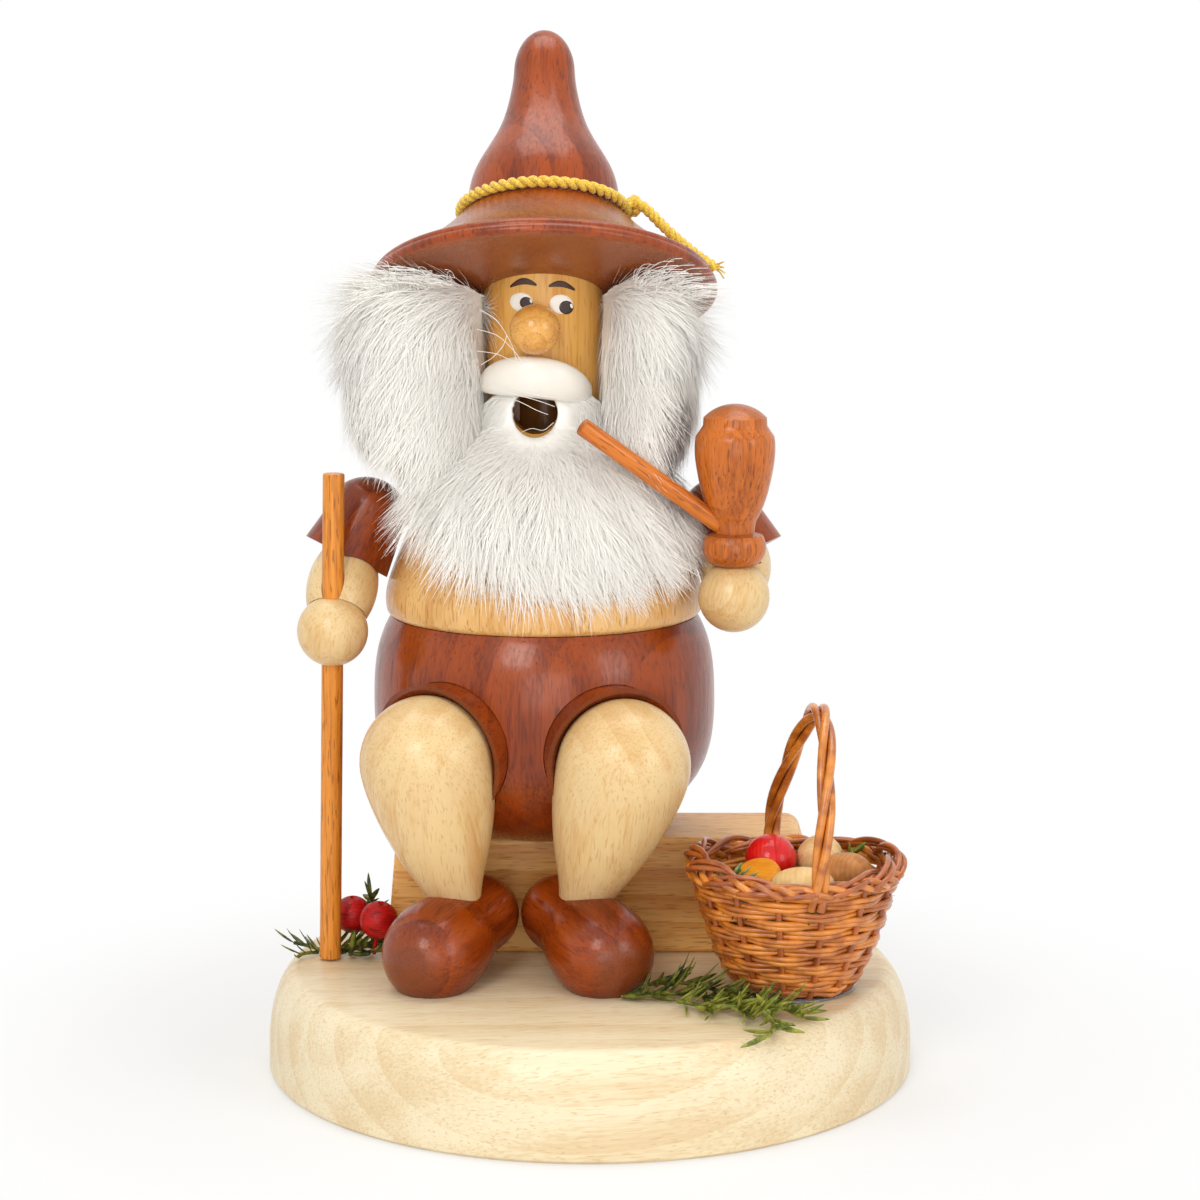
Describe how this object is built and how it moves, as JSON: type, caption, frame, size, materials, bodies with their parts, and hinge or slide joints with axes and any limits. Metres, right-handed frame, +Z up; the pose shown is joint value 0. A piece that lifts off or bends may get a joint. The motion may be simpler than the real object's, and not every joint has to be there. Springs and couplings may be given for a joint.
{
  "type": "incense smoker figure",
  "caption": "Seated turned-wood incense smoker with a tall hat, fur hair and beard, stick, pipe and small basket; the upper body lifts off for an incense cone.",
  "frame": {"origin": "centre of the round base's underside", "axes": "+Z up, the figure faces -Y, its right arm with the stick is on the -X side"},
  "size_m": [0.12, 0.12, 0.1915],
  "materials": {
    "base_wood": "satin lacquered natural beech",
    "bench_wood": "satin lacquered honey beech",
    "pale_wood": "gloss lacquered natural beech",
    "face_wood": "satin lacquered honey wood",
    "brown_wood": "gloss stained red-brown",
    "pipe_wood": "gloss stained red-brown",
    "stick_wood": "satin stained",
    "dowel_wood": "raw",
    "osier": "satin",
    "bread_wood": "matt",
    "red_paint": "gloss painted",
    "orange_paint": "gloss painted",
    "white_paint": "gloss painted",
    "fur": "soft",
    "gold_cord": "twisted",
    "moss": "rough",
    "sprig_green": "matt",
    "clear_glue": "clear",
    "plate_metal": "satin"
  },
  "bodies": {
    "lower": {"base_plate": "base_wood", "bench": "bench_wood", "bench_dowels": "dowel_wood", "seat_dowel": "dowel_wood", "trousers": "brown_wood", "incense_plate": "plate_metal", "plate_nail": "plate_metal", "right_thigh_cup": "brown_wood", "left_thigh_cup": "brown_wood", "leg_dowels": "dowel_wood", "right_lower_leg": "pale_wood", "left_lower_leg": "pale_wood", "right_shoe": "brown_wood", "left_shoe": "brown_wood", "basket_glue": "clear_glue", "basket_floor": "osier", "basket_wall": "osier", "basket_border": "osier", "basket_handle": "osier", "basket_moss": "moss", "red_fruit": "red_paint", "orange_fruit": "orange_paint", "pale_fruit": "bread_wood", "bun": "bread_wood", "loaf": "bread_wood", "basket_sprig": "sprig_green", "berry_sprig": "sprig_green", "red_berries": "red_paint", "berry_leaves": "sprig_green"},
    "upper": {"torso": "pale_wood", "head": "face_wood", "nose": "face_wood", "moustache": "white_paint", "hat": "brown_wood", "hat_dowel": "dowel_wood", "hat_cord": "gold_cord", "right_hair": "fur", "left_hair": "fur", "beard": "fur", "right_sleeve": "brown_wood", "left_sleeve": "brown_wood", "shoulder_dowels": "dowel_wood", "right_forearm": "pale_wood", "left_forearm": "pale_wood", "elbow_dowels": "dowel_wood", "right_hand": "pale_wood", "left_hand": "pale_wood", "wrist_dowels": "dowel_wood", "walking_stick": "stick_wood", "pipe_bowl": "pipe_wood", "pipe_stem": "stick_wood"}
  },
  "joints": [
    {"name": "upper_lift", "type": "slide", "parent": "lower", "child": "upper", "axis": [0, 0, 1], "range_m": [0, 0.06]}
  ]
}
